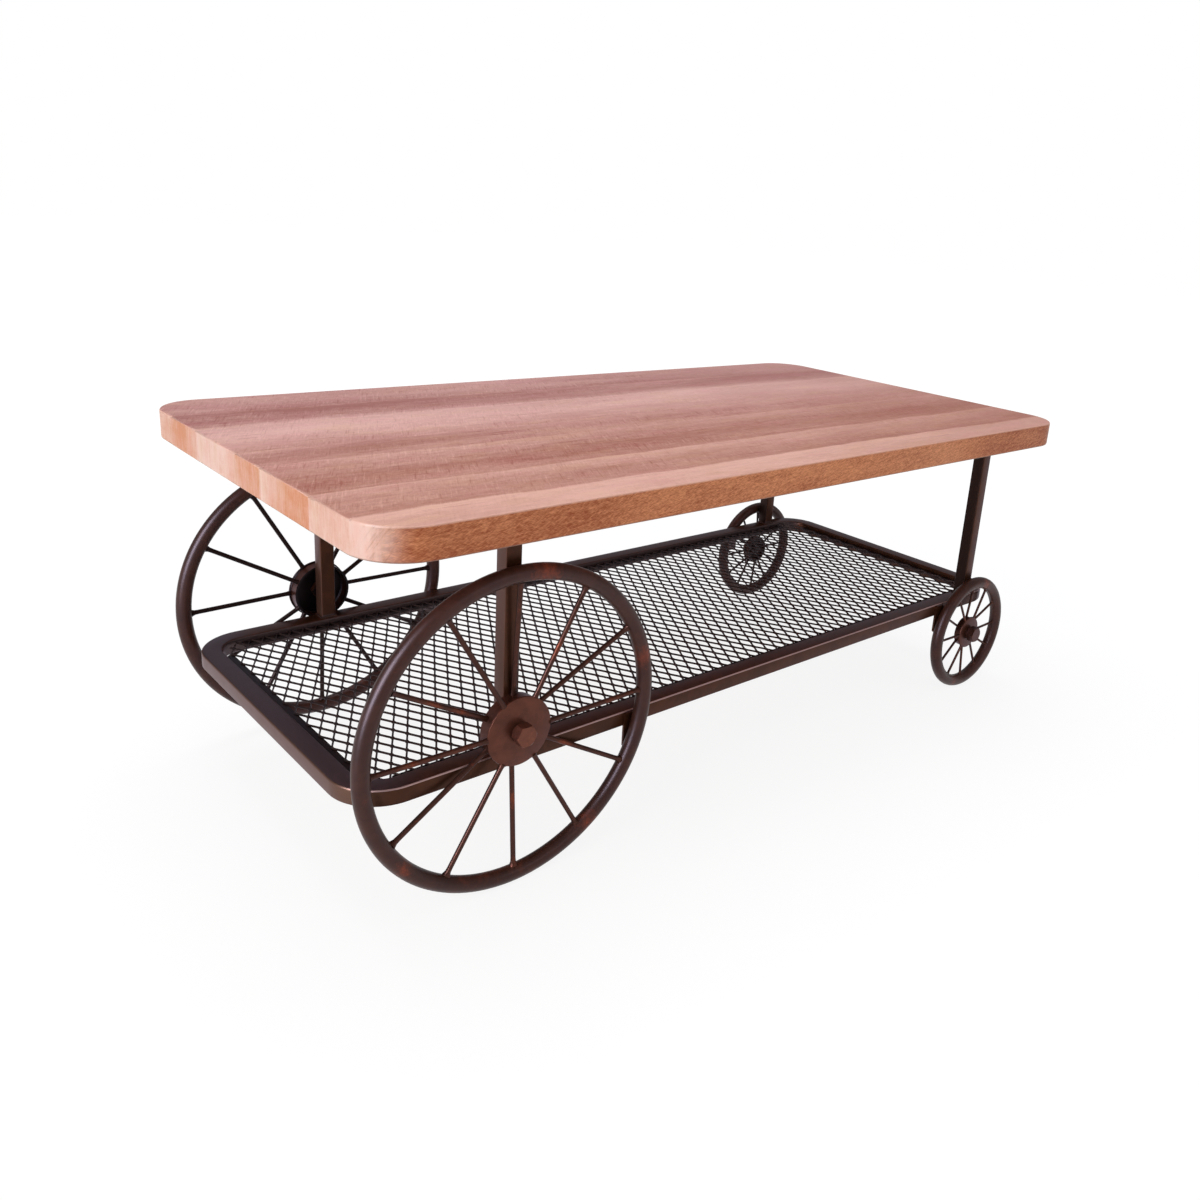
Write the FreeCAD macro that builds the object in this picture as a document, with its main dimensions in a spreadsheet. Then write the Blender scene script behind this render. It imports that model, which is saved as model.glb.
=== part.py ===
import FreeCAD, Part
import math
import os
import Sketcher

# Coffee table on four spoked wheels: a plank top on four square posts, a bent
# tube shelf frame with an expanded metal shelf, two big wheels at the left end
# and two small ones at the right end, each welded to the frame.
# Millimetres, +X along the top, +Z up, the origin on the floor under the middle.

SIZES = (
    # Top
    ("top_length", 1200.0),
    ("top_width", 620.0),
    ("top_thickness", 36.0),
    ("top_height", 465.0),
    ("top_corner_radius", 60.0),
    ("top_edge_round", 2.5),
    # Posts and the plates that carry the top
    ("post_size", 20.0),
    ("post_wall", 1.5),
    ("post_corner_radius", 2.0),
    ("plate_size", 60.0),
    ("plate_thickness", 4.0),
    ("plate_corner_radius", 6.0),
    ("screw_spacing", 44.0),
    ("screw_diameter", 5.0),
    ("screw_hole_clearance", 0.5),
    ("screw_length", 24.0),
    ("screw_point_length", 4.0),
    ("screw_head_diameter", 9.5),
    ("screw_head_height", 3.0),
    ("screw_head_crown", 1.2),
    # Shelf frame
    ("top_end_overhang", 8.0),
    ("top_side_overhang", 70.0),
    ("shelf_top_height", 160.0),
    ("shelf_corner_radius", 60.0),
    ("rail_width", 25.0),
    ("rail_height", 20.0),
    ("rail_wall", 1.5),
    ("rail_corner_radius", 2.5),
    # Expanded metal shelf and the flat bars under its edge
    ("mesh_recess", 5.0),
    ("mesh_thickness", 2.0),
    ("mesh_edge_gap", 0.5),
    ("mesh_strand_width", 3.0),
    ("mesh_pitch_long", 48.0),
    ("mesh_pitch_cross", 84.0),
    ("ledge_width", 12.0),
    ("ledge_thickness", 3.0),
    ("ledge_corner_radius", 2.0),
    # Wheels
    ("big_wheel_radius", 192.0),
    ("small_wheel_radius", 97.0),
    ("rim_tube_radius", 9.6),
    ("rim_seat_gap", 0.3),
    ("big_spoke_diameter", 6.0),
    ("small_spoke_diameter", 4.0),
    ("inner_spoke_edge", 1.0),
    ("outer_spoke_inset", 2.5),
    ("big_hub_radius", 39.0),
    ("small_hub_radius", 25.0),
    ("small_hub_back", 5.0),
    ("big_hub_depth", 19.0),
    ("small_hub_depth", 12.0),
    ("hub_wall", 3.0),
    ("hub_lip", 2.0),
    ("hub_edge_round", 0.8),
    ("hub_hole_clearance", 0.5),
    # Hub bolt, washer and nut
    ("bolt_diameter", 12.0),
    ("bolt_length", 15.0),
    ("bolt_head_flats", 23.0),
    ("bolt_head_height", 12.0),
    ("washer_diameter", 21.0),
    ("washer_thickness", 3.0),
    ("washer_edge_round", 0.6),
    ("nut_flats", 19.0),
    ("nut_height", 8.0),
    # Flat tabs that hold the rims to the frame
    ("tab_thickness", 3.0),
    ("tab_width", 20.0),
    ("tab_height", 46.0),
    ("tab_top_inset", 2.0),
    ("tab_corner_radius", 4.0),
    ("upper_tab_width", 16.0),
    ("upper_tab_height", 26.0),
    ("upper_tab_lift", 4.0),
    # How far a cutting shape runs past what it cuts
    ("overrun", 2.0),
)

# Widths of the glued planks, front to back, as shares of the top's width.
PLANK_WIDTH_SHARES = (0.078, 0.140, 0.192, 0.106, 0.197, 0.134, 0.153)

SPOKES_PER_SET = 6
FULL_TURN = 360.0
HEX_CORNERS = 6
HEX_SIDES_SHARE = 1.0 / math.sqrt(3.0)
HALF_SHARE = 0.5
CROWN_SLOPE_SHARE = 0.5

V = FreeCAD.Vector
doc = FreeCAD.newDocument("CoffeeTable")


class Size:
    """A number together with the sheet expression that gives it."""

    def __init__(self, value, text):
        self.value = value
        self.text = text

    def join(self, other, sign, value):
        return Size(value, "(%s %s %s)" % (self.text, sign, as_size(other).text))

    def __add__(self, other):
        return self.join(other, "+", self.value + as_size(other).value)

    def __sub__(self, other):
        return self.join(other, "-", self.value - as_size(other).value)

    def __mul__(self, other):
        return self.join(other, "*", self.value * as_size(other).value)

    def __truediv__(self, other):
        return self.join(other, "/", self.value / as_size(other).value)

    def __neg__(self):
        return Size(-self.value, "(-1 * %s)" % self.text)

    def root(self):
        return Size(math.sqrt(self.value), "sqrt(%s)" % self.text)

    def arccosine(self):
        return Size(math.degrees(math.acos(self.value)), "acos(%s)" % self.text)


def as_size(value):
    if isinstance(value, Size):
        return value
    return Size(float(value), repr(float(value)))


ZERO = as_size(0)
sheet = doc.addObject("Spreadsheet::Sheet", "Sizes")
size = {}
for row, (name, value) in enumerate(SIZES, start=1):
    sheet.set("A%d" % row, name)
    sheet.set("B%d" % row, str(value))
    sheet.setAlias("B%d" % row, name)
    size[name] = Size(value, "Sizes." + name)
doc.recompute()

pieces = []


# Sketch helpers

def origin_plane(body, role):
    for feature in body.Origin.OriginFeatures:
        if feature.Role == role:
            return feature
    raise ValueError(role)


def new_body(name, x=ZERO, y=ZERO, z=ZERO, rotation=None):
    body = doc.addObject("PartDesign::Body", name)
    body.Label = name
    if rotation is not None:
        body.Placement = FreeCAD.Placement(V(), rotation)
    for axis, place in (("x", x), ("y", y), ("z", z)):
        body.setExpression("Placement.Base." + axis, place.text)
    pieces.append(body)
    return body


def new_sketch(body, name, role, x=None, z=None):
    sketch = body.newObject("Sketcher::SketchObject", name)
    sketch.AttachmentSupport = [(origin_plane(body, role), "")]
    sketch.MapMode = "FlatFace"
    if x is not None:
        sketch.setExpression("AttachmentOffset.Base.x", x.text)
    if z is not None:
        sketch.setExpression("AttachmentOffset.Base.z", z.text)
    return sketch


def dimension(sketch, kind, geometry, length):
    index = sketch.addConstraint(Sketcher.Constraint(kind, *geometry, length.value))
    sketch.setExpression("Constraints[%d]" % index, length.text)


def pin_point(sketch, geometry, position, x, y):
    """Hold a point at x, y from the sketch origin."""
    for kind, length, axis in (("DistanceX", x, -2), ("DistanceY", y, -1)):
        if length.value == 0:
            sketch.addConstraint(
                Sketcher.Constraint("PointOnObject", geometry, position, axis))
        elif length.value > 0:
            dimension(sketch, kind, (-1, 1, geometry, position), length)
        else:
            dimension(sketch, kind, (geometry, position, -1, 1), -length)


def add_circle(sketch, radius, x, y):
    circle = Part.Circle(V(x.value, y.value, 0), V(0, 0, 1), radius.value)
    index = sketch.addGeometry(circle)
    dimension(sketch, "Radius", (index,), radius)
    pin_point(sketch, index, 3, x, y)


def add_outline(sketch, points):
    """Closed outline of straight lines through points given in sizes."""
    lines = []
    for number, (x, y) in enumerate(points):
        after = points[(number + 1) % len(points)]
        line = Part.LineSegment(V(x.value, y.value, 0),
                                V(after[0].value, after[1].value, 0))
        lines.append(sketch.addGeometry(line))
    for number, line in enumerate(lines):
        after = lines[(number + 1) % len(lines)]
        sketch.addConstraint(Sketcher.Constraint("Coincident", line, 2, after, 1))
    for line, (x, y) in zip(lines, points):
        pin_point(sketch, line, 1, x, y)


def add_rounded_rectangle(sketch, width, height, radius, x=ZERO, y=ZERO):
    """Rectangle with four equal round corners, centred on x, y."""
    w, h = width.value / 2, height.value / 2
    r = radius.value
    cx, cy = x.value, y.value
    quarter = math.pi / 2
    turns = ((w - r, -h + r, -1), (w - r, h - r, 0), (-w + r, h - r, 1), (-w + r, -h + r, 2))
    ends = (((-w + r, -h), (w - r, -h)), ((w, -h + r), (w, h - r)),
            ((w - r, h), (-w + r, h)), ((-w, h - r), (-w, -h + r)))
    sides, corners = [], []
    for (start, end), (ax, ay, turn) in zip(ends, turns):
        sides.append(sketch.addGeometry(Part.LineSegment(
            V(cx + start[0], cy + start[1], 0), V(cx + end[0], cy + end[1], 0))))
        corners.append(sketch.addGeometry(Part.ArcOfCircle(
            Part.Circle(V(cx + ax, cy + ay, 0), V(0, 0, 1), r),
            turn * quarter, (turn + 1) * quarter)))
    for number in range(len(sides)):
        after = (number + 1) % len(sides)
        sketch.addConstraint(
            Sketcher.Constraint("Tangent", sides[number], 2, corners[number], 1))
        sketch.addConstraint(
            Sketcher.Constraint("Tangent", corners[number], 2, sides[after], 1))
    for number, kind in enumerate(("Horizontal", "Vertical") * 2):
        sketch.addConstraint(Sketcher.Constraint(kind, sides[number]))
    for corner in corners[1:]:
        sketch.addConstraint(Sketcher.Constraint("Equal", corners[0], corner))
    dimension(sketch, "Radius", (corners[0],), radius)
    dimension(sketch, "DistanceX", (sides[3], 1, sides[1], 1), width)
    dimension(sketch, "DistanceY", (sides[0], 1, sides[2], 1), height)
    pin_point(sketch, corners[0], 3, x + width / 2 - radius, y - height / 2 + radius)


def add_hexagon(sketch, flats):
    corner = flats * HEX_SIDES_SHARE
    points = []
    for x_share, y_share in ((1, 0), (HALF_SHARE, HALF_SHARE), (-HALF_SHARE, HALF_SHARE),
                             (-1, 0), (-HALF_SHARE, -HALF_SHARE), (HALF_SHARE, -HALF_SHARE)):
        y = flats * y_share if y_share else ZERO
        points.append((corner * x_share, y))
    add_outline(sketch, points)


# Feature helpers

def pad(body, name, sketch, length):
    feature = body.newObject("PartDesign::Pad", name)
    feature.Profile = sketch
    feature.setExpression("Length", length.text)
    return feature


def pocket(body, name, sketch, length, reversed_cut):
    feature = body.newObject("PartDesign::Pocket", name)
    feature.Profile = sketch
    feature.setExpression("Length", length.text)
    feature.Reversed = reversed_cut
    return feature


def turn(body, name, sketch, kind="PartDesign::Revolution"):
    """Full turn of a section about the upright line of its sketch."""
    feature = body.newObject(kind, name)
    feature.Profile = sketch
    feature.ReferenceAxis = (sketch, ["V_Axis"])
    feature.Angle = FULL_TURN
    return feature


def flat_face(feature, z):
    """Name of the largest level face of a feature at height z."""
    best = None
    for number, face in enumerate(feature.Shape.Faces, start=1):
        level = face.BoundBox.ZMax - face.BoundBox.ZMin < Part.Precision.confusion()
        if level and abs(face.CenterOfMass.z - z) < Part.Precision.approximation():
            if best is None or face.Area > best[0]:
                best = (face.Area, "Face%d" % number)
    return best[1]


# Places that several pieces share

half_length = size["top_length"] / 2
shelf_length = size["top_length"] - size["top_end_overhang"] * 2
shelf_width = size["top_width"] - size["top_side_overhang"] * 2
big_wheel_x = size["big_wheel_radius"] - half_length
small_wheel_x = half_length - size["small_wheel_radius"]
side_y = shelf_width / 2
post_y = side_y - size["post_size"] / 2
top_underside = size["top_height"] - size["top_thickness"]
rim_plane = size["tab_thickness"] + size["rim_seat_gap"] + size["rim_tube_radius"]

ENDS = (("left", big_wheel_x), ("right", small_wheel_x))
SIDES = (("front", -1), ("rear", 1))


# Top: planks glued edge to edge

board = new_body("top_board", z=top_underside)
pieces.remove(board)
board_sketch = new_sketch(board, "BoardOutline", "XY_Plane")
add_rounded_rectangle(board_sketch, size["top_length"], size["top_width"],
                      size["top_corner_radius"])
board_pad = pad(board, "BoardPad", board_sketch, size["top_thickness"])
doc.recompute()

board_round = board.newObject("PartDesign::Fillet", "BoardEdges")
board_round.Base = (board_pad, [flat_face(board_pad, size["top_thickness"].value),
                                flat_face(board_pad, 0)])
board_round.setExpression("Radius", size["top_edge_round"].text)

screw_depth = size["screw_length"] - size["plate_thickness"]
screw_half_spacing = size["screw_spacing"] / 2
hole_sketch = new_sketch(board, "ScrewHoles", "XY_Plane")
for end_name, end_x in ENDS:
    for side_name, side in SIDES:
        for across in (-1, 1):
            for along in (-1, 1):
                add_circle(hole_sketch, size["screw_diameter"] / 2,
                           end_x + screw_half_spacing * along,
                           post_y * side + screw_half_spacing * across)
doc.recompute()
solid_volume = board.Shape.Volume
board_holes = pocket(board, "ScrewHolesCut", hole_sketch, screw_depth, True)
doc.recompute()
assert board.Shape.Volume < solid_volume, "screw holes cut nothing"

plank_edge = -(size["top_width"] / 2)
for number, share in enumerate(PLANK_WIDTH_SHARES, start=1):
    width = size["top_width"] * share
    if number == len(PLANK_WIDTH_SHARES):
        width = size["top_width"] / 2 - plank_edge
    cutter = doc.addObject("Part::Box", "PlankSpace%d" % number)
    cutter.setExpression("Length", size["top_length"].text)
    cutter.setExpression("Width", width.text)
    cutter.setExpression("Height", size["top_thickness"].text)
    cutter.setExpression("Placement.Base.x", (-half_length).text)
    cutter.setExpression("Placement.Base.y", plank_edge.text)
    cutter.setExpression("Placement.Base.z", top_underside.text)
    plank = doc.addObject("Part::Common", "top_plank_%d" % number)
    plank.Label = "top_plank_%d" % number
    plank.Base = board
    plank.Tool = cutter
    pieces.append(plank)
    plank_edge = plank_edge + width


# Posts, their plates and the screws into the top

plate_underside = top_underside - size["plate_thickness"]
post_height = plate_underside - size["shelf_top_height"]
post_bore = size["post_size"] - size["post_wall"] * 2
post_bore_radius = size["post_corner_radius"] - size["post_wall"]

for end_name, end_x in ENDS:
    for side_name, side in SIDES:
        place = "%s_%s" % (side_name, end_name)
        post = new_body("post_" + place, end_x, post_y * side, size["shelf_top_height"])
        section = new_sketch(post, "PostSection", "XY_Plane")
        add_rounded_rectangle(section, size["post_size"], size["post_size"],
                              size["post_corner_radius"])
        add_rounded_rectangle(section, post_bore, post_bore, post_bore_radius)
        pad(post, "PostPad", section, post_height)

        plate = new_body("top_plate_" + place, end_x, post_y * side, plate_underside)
        outline = new_sketch(plate, "PlateOutline", "XY_Plane")
        add_rounded_rectangle(outline, size["plate_size"], size["plate_size"],
                              size["plate_corner_radius"])
        hole_radius = (size["screw_diameter"] + size["screw_hole_clearance"]) / 2
        for across in (-1, 1):
            for along in (-1, 1):
                add_circle(outline, hole_radius, screw_half_spacing * along,
                           screw_half_spacing * across)
        pad(plate, "PlatePad", outline, size["plate_thickness"])

screws = new_body("top_screws", big_wheel_x - screw_half_spacing,
                  -post_y - screw_half_spacing, plate_underside)
screw_sketch = new_sketch(screws, "ScrewSection", "XZ_Plane")
screw_radius = size["screw_diameter"] / 2
head_radius = size["screw_head_diameter"] / 2
head_bottom = -size["screw_head_height"]
add_outline(screw_sketch, (
    (ZERO, head_bottom),
    (head_radius - size["screw_head_crown"], head_bottom),
    (head_radius, head_bottom + size["screw_head_crown"]),
    (head_radius, ZERO),
    (screw_radius, ZERO),
    (screw_radius, size["screw_length"] - size["screw_point_length"]),
    (ZERO, size["screw_length"]),
))
screw = turn(screws, "Screw", screw_sketch)
doc.recompute()
screw_rows = screws.newObject("PartDesign::MultiTransform", "ScrewRows")
screw_rows.Originals = [screw]
rows = []
for name, axis, spacing in (
        ("AlongPlate", "X_Axis", size["screw_spacing"]),
        ("AcrossPlate", "Y_Axis", size["screw_spacing"]),
        ("EndToEnd", "X_Axis", small_wheel_x - big_wheel_x),
        ("SideToSide", "Y_Axis", post_y * 2)):
    pattern = screws.newObject("PartDesign::LinearPattern", name)
    pattern.Direction = (origin_plane(screws, axis), [""])
    pattern.Occurrences = 2
    pattern.setExpression("Length", spacing.text)
    rows.append(pattern)
screw_rows.Transformations = rows
screws.Tip = screw_rows


# Shelf frame: two bent halves of rectangular tube

rail_middle = size["shelf_top_height"] - size["rail_height"] / 2
path_x = shelf_length / 2 - size["rail_width"] / 2
path_y = side_y - size["rail_width"] / 2
path_radius = size["shelf_corner_radius"] - size["rail_width"] / 2
half_turn = FreeCAD.Rotation(V(0, 0, 1), FULL_TURN / 2)


def add_half_ring(sketch):
    """Open path round the -X end: side, corner, end, corner, side."""
    x, y, r = path_x.value, path_y.value, path_radius.value
    line, arc = Part.LineSegment, Part.ArcOfCircle
    up = V(0, 0, 1)
    shapes = (
        line(V(0, -y, 0), V(-x + r, -y, 0)),
        arc(Part.Circle(V(-x + r, -y + r, 0), up, r), math.pi, 1.5 * math.pi),
        line(V(-x, -y + r, 0), V(-x, y - r, 0)),
        arc(Part.Circle(V(-x + r, y - r, 0), up, r), 0.5 * math.pi, math.pi),
        line(V(-x + r, y, 0), V(0, y, 0)),
    )
    near, corner_a, end, corner_b, far = [sketch.addGeometry(shape) for shape in shapes]
    for joint in ((near, 2, corner_a, 2), (corner_a, 1, end, 1),
                  (end, 2, corner_b, 2), (corner_b, 1, far, 1)):
        sketch.addConstraint(Sketcher.Constraint("Tangent", *joint))
    sketch.addConstraint(Sketcher.Constraint("Horizontal", near))
    sketch.addConstraint(Sketcher.Constraint("Horizontal", far))
    sketch.addConstraint(Sketcher.Constraint("Vertical", end))
    sketch.addConstraint(Sketcher.Constraint("Equal", corner_a, corner_b))
    dimension(sketch, "Radius", (corner_a,), path_radius)
    pin_point(sketch, near, 1, ZERO, -path_y)
    pin_point(sketch, far, 2, ZERO, path_y)
    dimension(sketch, "DistanceX", (end, 1, -1, 1), path_x)


for end_name, rotation in (("left", FreeCAD.Rotation()), ("right", half_turn)):
    half = new_body("shelf_frame_" + end_name, z=rail_middle, rotation=rotation)
    path = new_sketch(half, "FramePath", "XY_Plane")
    add_half_ring(path)
    section = new_sketch(half, "RailSection", "YZ_Plane", x=-path_y)
    add_rounded_rectangle(section, size["rail_width"], size["rail_height"],
                          size["rail_corner_radius"])
    add_rounded_rectangle(section, size["rail_width"] - size["rail_wall"] * 2,
                          size["rail_height"] - size["rail_wall"] * 2,
                          size["rail_corner_radius"] - size["rail_wall"])
    sweep = half.newObject("PartDesign::AdditivePipe", "RailSweep")
    sweep.Profile = section
    sweep.Spine = (path, [])


# Flat bars inside the frame and the expanded metal that lies on them

mesh_top = size["shelf_top_height"] - size["mesh_recess"]
mesh_bottom = mesh_top - size["mesh_thickness"]
ledge_bottom = mesh_bottom - size["ledge_thickness"]
inner_x = shelf_length / 2 - size["rail_width"]
inner_y = side_y - size["rail_width"]
ledge_middle_x = inner_x - size["ledge_width"] / 2
ledge_middle_y = inner_y - size["ledge_width"] / 2
side_ledge_length = shelf_length - size["shelf_corner_radius"] * 2
end_ledge_length = shelf_width - size["shelf_corner_radius"] * 2

for name, length, width, x, y in (
        ("front", side_ledge_length, size["ledge_width"], ZERO, -ledge_middle_y),
        ("rear", side_ledge_length, size["ledge_width"], ZERO, ledge_middle_y),
        ("left", size["ledge_width"], end_ledge_length, -ledge_middle_x, ZERO),
        ("right", size["ledge_width"], end_ledge_length, ledge_middle_x, ZERO)):
    ledge = new_body("mesh_ledge_" + name, x, y, ledge_bottom)
    outline = new_sketch(ledge, "LedgeOutline", "XY_Plane")
    add_rounded_rectangle(outline, length, width, size["ledge_corner_radius"])
    pad(ledge, "LedgePad", outline, size["ledge_thickness"])


def rounded_face(half_x, half_y, radius):
    """Flat rounded rectangle centred on the origin."""
    corner = Part.makePlane(half_x * 2, half_y * 2, V(-half_x, -half_y, 0))
    solid = corner.extrude(V(0, 0, radius))
    upright = [edge for edge in solid.Edges
               if abs(edge.BoundBox.ZMax - edge.BoundBox.ZMin - radius)
               < Part.Precision.approximation()]
    solid = solid.makeFillet(radius, upright)
    floor = min(solid.Faces, key=lambda face: face.CenterOfMass.z)
    return floor


def diamond(x, y, half_x, half_y):
    corners = [V(x - half_x, y, 0), V(x, y - half_y, 0), V(x + half_x, y, 0),
               V(x, y + half_y, 0), V(x - half_x, y, 0)]
    return Part.Face(Part.makePolygon(corners))


def expanded_metal():
    """One sheet with staggered diamond gaps, short across X and long across Y."""
    gap = size["mesh_edge_gap"].value
    strand = size["mesh_strand_width"].value
    half_x = inner_x.value - gap
    half_y = inner_y.value - gap
    radius = size["shelf_corner_radius"].value - size["rail_width"].value - gap
    sheet_face = rounded_face(half_x, half_y, radius)
    field = rounded_face(half_x - strand, half_y - strand, radius - strand)
    columns = round(2 * (half_x - strand) / size["mesh_pitch_long"].value)
    rows = round(2 * (half_y - strand) / size["mesh_pitch_cross"].value)
    step_x = (half_x - strand) / columns
    step_y = (half_y - strand) / rows
    slope = math.atan2(step_x, step_y)
    diamond_x = step_x - strand / 2 / math.cos(slope)
    diamond_y = step_y - strand / 2 / math.sin(slope)
    gaps = []
    for i in range(-columns, columns + 1):
        for j in range(-rows, rows + 1):
            if (i + j) % 2 == 0:
                gaps.append(diamond(i * step_x, j * step_y, diamond_x, diamond_y))
    holes = field.common(Part.makeCompound(gaps)).Faces
    wires = [hole.OuterWire for hole in holes if hole.Area > strand * strand]
    print("gaps in the shelf mesh:", len(wires))
    net = Part.Face([sheet_face.OuterWire] + wires)
    net.validate()
    return net.extrude(V(0, 0, size["mesh_thickness"].value))


mesh = doc.addObject("Part::Feature", "shelf_mesh")
mesh.Label = "shelf_mesh"
mesh.Shape = expanded_metal()
mesh.Placement = FreeCAD.Placement(V(0, 0, mesh_bottom.value), FreeCAD.Rotation())
pieces.append(mesh)


# Wheels
# Each wheel is made lying flat: z = 0 is the outer side of the frame, z grows
# away from the table, x runs along the table and y up.

bolt_radius = size["bolt_diameter"] / 2
hub_hole_radius = (size["bolt_diameter"] + size["hub_hole_clearance"]) / 2
tab_top = size["shelf_top_height"] - size["tab_top_inset"]
tab_middle = tab_top - size["tab_height"] / 2


def add_hex_piece(body, name, flats, bottom, height):
    sketch = new_sketch(body, name + "Outline", "XY_Plane", z=bottom)
    add_hexagon(sketch, flats)
    pad(body, name + "Pad", sketch, height)


def crown(body, name, flats, top):
    """Turned chamfer on the corners of a hexagon's outer end."""
    outer = flats * HEX_SIDES_SHARE + size["overrun"]
    inner = flats / 2
    drop = (outer - inner) * CROWN_SLOPE_SHARE
    sketch = new_sketch(body, name, "XZ_Plane")
    add_outline(sketch, ((inner, top), (outer, top), (outer, top - drop)))
    turn(body, name + "Cut", sketch, "PartDesign::Groove")


def spoke_set(name, rod_radius, start_radius, rim_radius, height, place, rotation):
    """Six rods from the hub's wall, at one height, to the middle of the rim."""
    body = new_body(name, *place, rotation=rotation)
    inside = start_radius - size["overrun"]
    reach = rim_radius - inside
    rise = rim_plane - height
    length = (reach * reach + rise * rise).root()
    rod = body.newObject("PartDesign::AdditiveCylinder", "Spoke")
    rod.AttachmentSupport = [(origin_plane(body, "XY_Plane"), "")]
    rod.MapMode = "FlatFace"
    lying = FreeCAD.Rotation(V(0, 1, 0), FULL_TURN / 4)
    rod.AttachmentOffset = FreeCAD.Placement(V(), lying)
    rod.setExpression("AttachmentOffset.Rotation.Angle", (rise / length).arccosine().text)
    rod.setExpression("AttachmentOffset.Base.x", inside.text)
    rod.setExpression("AttachmentOffset.Base.z", height.text)
    rod.setExpression("Radius", rod_radius.text)
    rod.setExpression("Height", length.text)
    doc.recompute()

    section = new_sketch(body, "RimSection", "XZ_Plane")
    add_circle(section, size["rim_tube_radius"], rim_radius, rim_plane)
    rim_trim = turn(body, "RimTrim", section, "PartDesign::Groove")
    section = new_sketch(body, "HubSection", "XZ_Plane")
    low = height - rod_radius - size["overrun"]
    high = height + rod_radius + size["overrun"]
    add_outline(section, ((ZERO, low), (start_radius, low), (start_radius, high), (ZERO, high)))
    hub_trim = turn(body, "HubTrim", section, "PartDesign::Groove")
    doc.recompute()

    pattern = body.newObject("PartDesign::PolarPattern", "SpokeRing")
    pattern.Originals = [rod, rim_trim, hub_trim]
    pattern.Axis = (origin_plane(body, "Z_Axis"), [""])
    pattern.Angle = FULL_TURN
    pattern.Occurrences = SPOKES_PER_SET
    body.Tip = pattern


def add_tab(name, width, height, x, y, place, rotation):
    body = new_body(name, *place, rotation=rotation)
    outline = new_sketch(body, "TabOutline", "XY_Plane")
    add_rounded_rectangle(outline, width, height, size["tab_corner_radius"], x, y)
    pad(body, "TabPad", outline, size["tab_thickness"])


def add_wheel(side_name, kind, x, side, hub_back):
    prefix = "%s_%s" % (side_name, kind)
    radius = size[kind + "_wheel_radius"]
    hub_radius = size[kind + "_hub_radius"]
    hub_front = hub_back + size[kind + "_hub_depth"]
    rod_radius = size[kind + "_spoke_diameter"] / 2
    rim_radius = radius - size["rim_tube_radius"]
    upright = FreeCAD.Rotation(V(1, 0, 0), FULL_TURN / 4)
    rotation = upright if side < 0 else half_turn.multiply(upright)
    place = (x, side_y * side, radius)

    rim = new_body(prefix + "_rim", *place, rotation=rotation)
    section = new_sketch(rim, "RimSection", "XZ_Plane")
    add_circle(section, size["rim_tube_radius"], rim_radius, rim_plane)
    turn(rim, "RimTurn", section)

    # The hub is a cup: a wall, and a front disc that stands out past it as a lip.
    hub = new_body(prefix + "_hub", *place, rotation=rotation)
    section = new_sketch(hub, "HubSection", "XZ_Plane")
    edge = size["hub_edge_round"]
    disc_back = hub_front - size["hub_wall"]
    lip_radius = hub_radius + size["hub_lip"]
    inside = hub_radius - size["hub_wall"]
    add_outline(section, (
        (hub_radius, hub_back),
        (hub_radius, disc_back),
        (lip_radius, disc_back),
        (lip_radius, hub_front - edge),
        (lip_radius - edge, hub_front),
        (hub_hole_radius, hub_front),
        (hub_hole_radius, disc_back),
        (inside, disc_back),
        (inside, hub_back),
    ))
    turn(hub, "HubTurn", section)

    washer = new_body(prefix + "_washer", *place, rotation=rotation)
    section = new_sketch(washer, "WasherSection", "XZ_Plane")
    washer_radius = size["washer_diameter"] / 2
    washer_top = hub_front + size["washer_thickness"]
    edge = size["washer_edge_round"]
    add_outline(section, (
        (hub_hole_radius, hub_front),
        (washer_radius, hub_front),
        (washer_radius, washer_top - edge),
        (washer_radius - edge, washer_top),
        (hub_hole_radius, washer_top),
    ))
    turn(washer, "WasherTurn", section)

    bolt = new_body(prefix + "_bolt", *place, rotation=rotation)
    shank = new_sketch(bolt, "ShankSection", "XY_Plane", z=washer_top - size["bolt_length"])
    add_circle(shank, bolt_radius, ZERO, ZERO)
    pad(bolt, "ShankPad", shank, size["bolt_length"])
    add_hex_piece(bolt, "Head", size["bolt_head_flats"], washer_top,
                  size["bolt_head_height"])
    doc.recompute()
    crown(bolt, "HeadCrown", size["bolt_head_flats"], washer_top + size["bolt_head_height"])

    nut = new_body(prefix + "_nut", *place, rotation=rotation)
    sketch = new_sketch(nut, "NutOutline", "XY_Plane", z=disc_back - size["nut_height"])
    add_hexagon(sketch, size["nut_flats"])
    add_circle(sketch, bolt_radius, ZERO, ZERO)
    pad(nut, "NutPad", sketch, size["nut_height"])

    # Outer rods end on the disc's lip, inner rods on the wall near its open edge.
    spoke_set(prefix + "_outer_spokes", rod_radius, lip_radius, rim_radius,
              hub_front - size["outer_spoke_inset"], place, rotation)
    spin = FreeCAD.Rotation(V(0, 0, 1), FULL_TURN / (SPOKES_PER_SET * 2))
    spoke_set(prefix + "_inner_spokes", rod_radius, hub_radius, rim_radius,
              hub_back + rod_radius + size["inner_spoke_edge"], place,
              rotation.multiply(spin))

    # The tab stands behind the rim where it crosses the frame, towards the middle.
    drop = tab_middle - radius
    across = (rim_radius * rim_radius - drop * drop).root()
    inward = 1 if x.value < 0 else -1
    add_tab(prefix + "_tab", size["tab_width"], size["tab_height"],
            across * (-side * inward), drop, place, rotation)
    return place, rotation


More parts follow.
